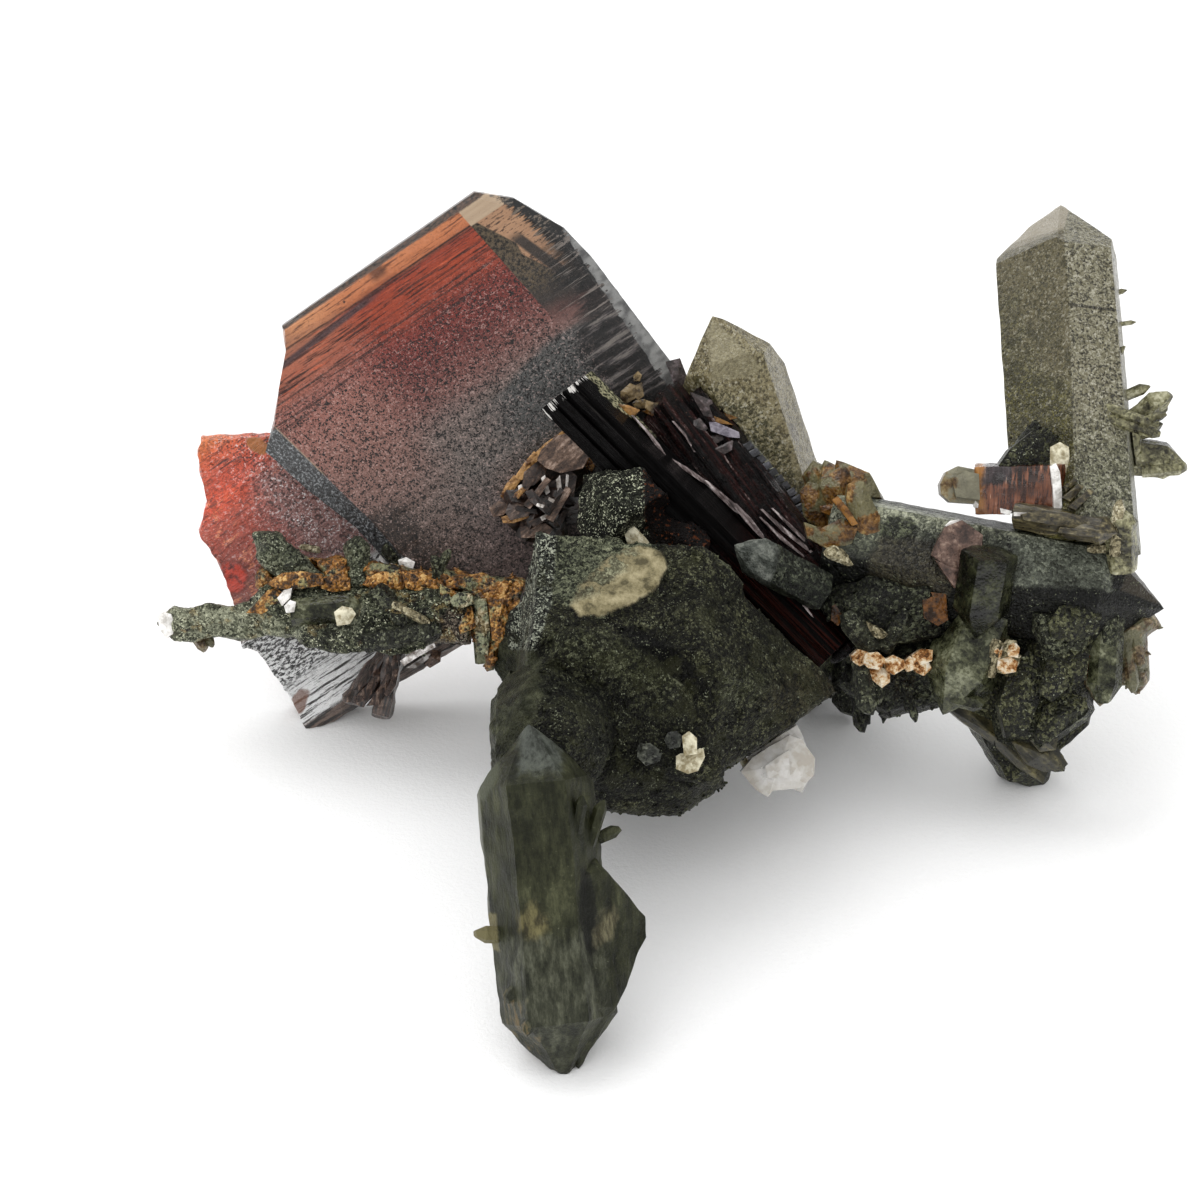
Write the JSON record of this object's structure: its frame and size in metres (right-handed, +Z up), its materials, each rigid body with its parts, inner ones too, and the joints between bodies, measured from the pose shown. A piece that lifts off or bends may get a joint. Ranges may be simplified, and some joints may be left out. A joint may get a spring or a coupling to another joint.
{
  "type": "mineral specimen",
  "caption": "Tabular red to grey brookite crystals on a cluster of chlorite-green quartz points, iron stained between them, resting on its crystal tips.",
  "frame": {"origin": "centre of the base of the specimen's bounding box, on the surface it rests on", "axes": "+X from the broken edge of the lower plate towards the upright quartz point, along the longest side; +Y away from the side that shows the brookite face; +Z up as the specimen rests"},
  "size_m": [0.0632, 0.0512, 0.0311],
  "materials": {
    "brookite_red": "satin",
    "brookite_dark": "gloss",
    "brookite_brown": "gloss",
    "quartz_green": "satin",
    "quartz_grey": "satin",
    "quartz_clear": "polished",
    "iron_stain": "matte",
    "feldspar": "matte"
  },
  "bodies": {
    "root": {"brookite_main_plate": "brookite_red", "brookite_lower_plate": "brookite_red", "brookite_striated_prism": "brookite_dark", "brookite_blade_bundle": "brookite_dark", "brookite_small_crystal": "brookite_brown", "brookite_pink_flake": "brookite_brown", "brookite_flake_cluster": "brookite_brown", "brookite_blade_fan": "brookite_brown", "quartz_central_mass": "quartz_green", "quartz_front_leg": "quartz_green", "quartz_long_point": "quartz_green", "quartz_rear_point": "quartz_grey", "quartz_upright_point": "quartz_grey", "quartz_dark_splinter": "quartz_green", "quartz_dark_wedge": "quartz_green", "quartz_amber_tip": "iron_stain", "quartz_foot_bar": "quartz_grey", "quartz_foot_column": "quartz_grey", "quartz_side_spray": "quartz_grey", "quartz_stained_cluster": "iron_stain", "quartz_across_blades": "quartz_grey", "quartz_cluster_bed": "quartz_green", "quartz_front_column": "quartz_green", "quartz_lower_bed": "quartz_green", "quartz_back_mass": "quartz_green", "quartz_grey_knob": "quartz_grey", "quartz_right_leg": "quartz_green", "quartz_rusty_points": "iron_stain", "quartz_left_bar": "quartz_green", "quartz_left_cluster": "quartz_green", "quartz_rounded_crystal": "quartz_green", "quartz_upright_stub": "quartz_green", "quartz_clear_points": "quartz_clear", "quartz_granular_patch": "quartz_green", "stained_matrix": "iron_stain", "feldspar_lumps": "feldspar", "feldspar_lump_right": "feldspar"}
  },
  "joints": []
}
